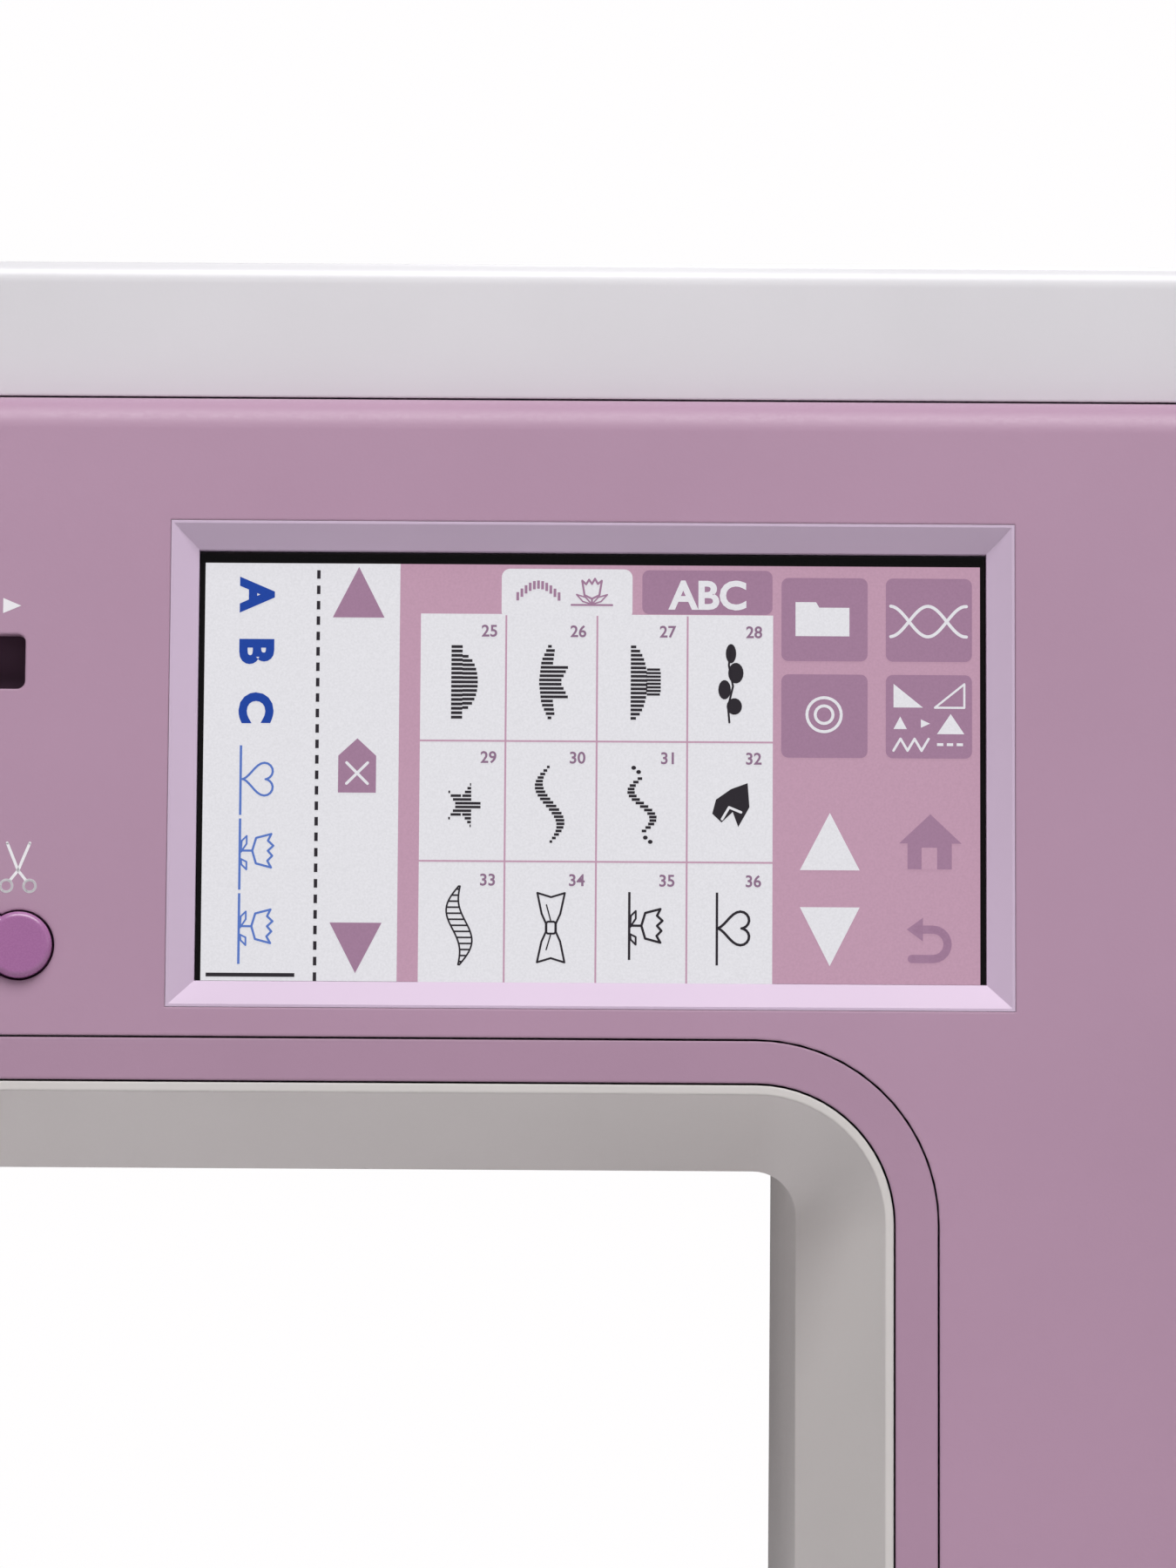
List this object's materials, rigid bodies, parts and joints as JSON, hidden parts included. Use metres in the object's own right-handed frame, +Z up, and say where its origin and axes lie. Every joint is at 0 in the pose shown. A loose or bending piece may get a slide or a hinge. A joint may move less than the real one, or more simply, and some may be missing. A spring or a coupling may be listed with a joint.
{
  "type": "computerised sewing machine",
  "caption": "Household sewing machine with a colour touch screen in a lilac front panel, free arm, extension table, rotary hook drive and hinged top lid.",
  "frame": {"origin": "middle of the footprint, on the table that the machine stands on", "axes": "+X to the right of the operator, -Y towards the operator, +Z up"},
  "size_m": [0.47, 0.196, 0.326],
  "materials": {
    "accessory_lid": "satin",
    "arm_frame": "die cast",
    "base_cover": "satin",
    "bed_frame": "die cast",
    "bobbin": "clear plastic",
    "bobbin_case": "matt",
    "bobbin_cover": "clear plastic",
    "carry_handle": "satin",
    "circuit_boards": "solder mask",
    "drive_belts": "matt",
    "extension_table": "satin",
    "face_cover": "satin",
    "feed_carrier": "plain",
    "feed_dog": "hardened",
    "feed_drop_lever": "matt",
    "free_arm_shell": "satin",
    "front_cover": "satin",
    "handwheel": "satin",
    "hinge_pins": "plain",
    "lcd_panel": "lit",
    "led_lamp": "frosted",
    "lower_shaft": "ground",
    "machine_screws": "turned",
    "motor": "satin",
    "motor_shaft": "ground",
    "needle": "polished",
    "needle_bar": "polished",
    "needle_bar_frame": "die cast",
    "needle_plate": "brushed",
    "needle_position_key": "gloss",
    "needle_threader": "satin",
    "power_switch": "gloss",
    "presser_bar": "polished",
    "presser_foot": "polished",
    "presser_lifter": "satin",
    "presser_spring": "plain",
    "rear_cover": "satin",
    "reverse_key": "gloss",
    "right_cover": "satin",
    "rotary_hook": "polished",
    "rubber_feet": "matt",
    "screen_bezel": "satin gloss",
    "shaft_bushings": "sintered",
    "socket_block": "matt",
    "speed_slider": "gloss",
    "spool_cap": "gloss",
    "spool_pin": "gloss",
    "spool_tray": "satin",
    "start_stop_key": "gloss",
    "step_motors": "satin",
    "take_up_lever": "polished",
    "tension_unit": "polished",
    "thread_cutter_key": "gloss",
    "throat_liner": "satin",
    "throat_trim": "satin",
    "top_lid": "satin",
    "touch_glass": "polished",
    "upper_shaft": "ground",
    "winder_lever": "gloss",
    "winder_spindle": "turned"
  },
  "bodies": {
    "machine": {"arm_frame": "arm_frame", "base_cover": "base_cover", "bed_frame": "bed_frame", "bobbin_case": "bobbin_case", "circuit_boards": "circuit_boards", "drive_belts": "drive_belts", "face_cover": "face_cover", "free_arm_shell": "free_arm_shell", "front_cover": "front_cover", "hinge_pins": "hinge_pins", "lcd_panel": "lcd_panel", "led_lamp": "led_lamp", "machine_screws": "machine_screws", "motor": "motor", "needle_plate": "needle_plate", "presser_spring": "presser_spring", "rear_cover": "rear_cover", "right_cover": "right_cover", "rubber_feet": "rubber_feet", "screen_bezel": "screen_bezel", "shaft_bushings": "shaft_bushings", "socket_block": "socket_block", "spool_pin": "spool_pin", "spool_tray": "spool_tray", "step_motors": "step_motors", "tension_unit": "tension_unit", "throat_liner": "throat_liner", "throat_trim": "throat_trim", "touch_glass": "touch_glass"},
    "main_shaft": {"upper_shaft": "upper_shaft", "handwheel": "handwheel"},
    "lower_shaft_body": {"lower_shaft": "lower_shaft"},
    "motor_rotor": {"motor_shaft": "motor_shaft"},
    "hook": {"rotary_hook": "rotary_hook"},
    "bobbin_body": {"bobbin": "bobbin"},
    "needle_frame": {"needle_bar_frame": "needle_bar_frame"},
    "needle_bar_body": {"needle_bar": "needle_bar", "needle": "needle"},
    "take_up": {"take_up_lever": "take_up_lever"},
    "presser": {"presser_bar": "presser_bar"},
    "foot": {"presser_foot": "presser_foot"},
    "lifter": {"presser_lifter": "presser_lifter"},
    "threader": {"needle_threader": "needle_threader"},
    "feed_rise": {"feed_carrier": "feed_carrier"},
    "feed": {"feed_dog": "feed_dog"},
    "feed_drop": {"feed_drop_lever": "feed_drop_lever"},
    "hatch": {"bobbin_cover": "bobbin_cover"},
    "table": {"extension_table": "extension_table"},
    "table_lid": {"accessory_lid": "accessory_lid"},
    "lid": {"top_lid": "top_lid"},
    "handle": {"carry_handle": "carry_handle"},
    "cutter_key": {"thread_cutter_key": "thread_cutter_key"},
    "position_key": {"needle_position_key": "needle_position_key"},
    "back_key": {"reverse_key": "reverse_key"},
    "start_key": {"start_stop_key": "start_stop_key"},
    "slider": {"speed_slider": "speed_slider"},
    "cap": {"spool_cap": "spool_cap"},
    "winder_base": {"winder_lever": "winder_lever"},
    "winder": {"winder_spindle": "winder_spindle"},
    "switch": {"power_switch": "power_switch"}
  },
  "joints": [
    {"name": "main_shaft_spin", "type": "hinge", "parent": "machine", "child": "main_shaft", "pos_m": [0, -0.004, 0.262], "axis": [1, 0, 0], "continuous": true},
    {"name": "lower_shaft_spin", "type": "hinge", "parent": "machine", "child": "lower_shaft_body", "pos_m": [0, -0.004, 0.052], "axis": [1, 0, 0], "continuous": true},
    {"name": "motor_spin", "type": "hinge", "parent": "machine", "child": "motor_rotor", "pos_m": [0.1, -0.004, 0.15], "axis": [1, 0, 0], "continuous": true},
    {"name": "hook_spin", "type": "hinge", "parent": "machine", "child": "hook", "pos_m": [-0.18, -0.019, 0.06], "axis": [0, 0, 1], "continuous": true},
    {"name": "bobbin_spin", "type": "hinge", "parent": "machine", "child": "bobbin_body", "pos_m": [-0.18, -0.019, 0.07], "axis": [0, 0, 1], "continuous": true},
    {"name": "needle_zigzag", "type": "hinge", "parent": "machine", "child": "needle_frame", "pos_m": [-0.18, 0.008, 0.292], "axis": [0, 1, 0], "range_deg": [-1, 1]},
    {"name": "needle_bar_stroke", "type": "slide", "parent": "needle_frame", "child": "needle_bar_body", "axis": [0, 0, 1], "range_m": [-0.032, 0]},
    {"name": "take_up_swing", "type": "hinge", "parent": "machine", "child": "take_up", "pos_m": [-0.166, -0.008, 0.236], "axis": [1, 0, 0], "range_deg": [-30, 10]},
    {"name": "presser_lift", "type": "slide", "parent": "machine", "child": "presser", "axis": [0, 0, 1], "range_m": [-0.0068, 0], "deforming": ["presser_spring"]},
    {"name": "foot_tilt", "type": "hinge", "parent": "presser", "child": "foot", "pos_m": [-0.18, 0.006, 0.105], "axis": [-1, 0, 0], "range_deg": [0, 12]},
    {"name": "lifter_swing", "type": "hinge", "parent": "machine", "child": "lifter", "pos_m": [-0.158, 0.036, 0.176], "axis": [0, -1, 0], "range_deg": [-50, 0]},
    {"name": "threader_drop", "type": "slide", "parent": "machine", "child": "threader", "axis": [0, 0, 1], "range_m": [-0.03, 0]},
    {"name": "feed_drop_slide", "type": "slide", "parent": "machine", "child": "feed_drop", "axis": [1, 0, 0], "range_m": [0, 0.012]},
    {"name": "feed_rise_slide", "type": "slide", "parent": "machine", "child": "feed_rise", "axis": [0, 0, 1], "range_m": [-0.0026, 0]},
    {"name": "feed_stroke", "type": "slide", "parent": "feed_rise", "child": "feed", "axis": [0, 1, 0], "range_m": [-0.0025, 0.0025]},
    {"name": "bobbin_cover_lift", "type": "slide", "parent": "machine", "child": "hatch", "axis": [0, 0, 1], "range_m": [0, 0.006]},
    {"name": "table_slide", "type": "slide", "parent": "machine", "child": "table", "axis": [1, 0, 0], "range_m": [-0.27, 0]},
    {"name": "accessory_lid_hinge", "type": "hinge", "parent": "table", "child": "table_lid", "pos_m": [-0.1, -0.095, 0.02], "axis": [1, 0, 0], "range_deg": [0, 90]},
    {"name": "top_lid_hinge", "type": "hinge", "parent": "machine", "child": "lid", "pos_m": [0, 0.064, 0.311], "axis": [-1, 0, 0], "range_deg": [0, 75]},
    {"name": "handle_hinge", "type": "hinge", "parent": "machine", "child": "handle", "pos_m": [0, 0.092, 0.292], "axis": [1, 0, 0], "range_deg": [0, 180]},
    {"name": "cutter_key_press", "type": "slide", "parent": "machine", "child": "cutter_key", "axis": [0, 0.9925, -0.1219], "range_m": [0, 0.001], "stiffness_N_per_m": 700, "springref_m": -0.0005},
    {"name": "position_key_press", "type": "slide", "parent": "machine", "child": "position_key", "axis": [0, 0.9925, -0.1219], "range_m": [0, 0.001], "stiffness_N_per_m": 700, "springref_m": -0.0005},
    {"name": "reverse_key_press", "type": "slide", "parent": "machine", "child": "back_key", "axis": [0, 0.9925, -0.1219], "range_m": [0, 0.001], "stiffness_N_per_m": 700, "springref_m": -0.0005},
    {"name": "start_key_press", "type": "slide", "parent": "machine", "child": "start_key", "axis": [0, 0.9925, -0.1219], "range_m": [0, 0.001], "stiffness_N_per_m": 700, "springref_m": -0.0005},
    {"name": "speed_slide", "type": "slide", "parent": "machine", "child": "slider", "axis": [1, 0, 0], "range_m": [0, 0.0275]},
    {"name": "spool_cap_slide", "type": "slide", "parent": "machine", "child": "cap", "axis": [1, 0, 0], "range_m": [-0.03, 0.09]},
    {"name": "winder_lever_swing", "type": "hinge", "parent": "machine", "child": "winder_base", "pos_m": [0.164, -0.014, 0.308], "axis": [0, 0, 1], "range_deg": [0, 20]},
    {"name": "winder_spin", "type": "hinge", "parent": "winder_base", "child": "winder", "pos_m": [0.164, -0.014, 0.315], "axis": [0, 0, 1], "continuous": true},
    {"name": "power_switch_rock", "type": "hinge", "parent": "machine", "child": "switch", "pos_m": [0.201, -0.024, 0.062], "axis": [0, 1, 0], "range_deg": [-6, 6]}
  ],
  "couplings": [
    {"joint": "lower_shaft_spin", "follows": "main_shaft_spin", "ratio": 1},
    {"joint": "motor_spin", "follows": "main_shaft_spin", "ratio": 3.25},
    {"joint": "hook_spin", "follows": "main_shaft_spin", "ratio": 2},
    {"joint": "lifter_swing", "follows": "presser_lift", "rad_per_m": 128.33},
    {"joint": "feed_rise_slide", "follows": "feed_drop_slide", "ratio": -0.20833}
  ]
}
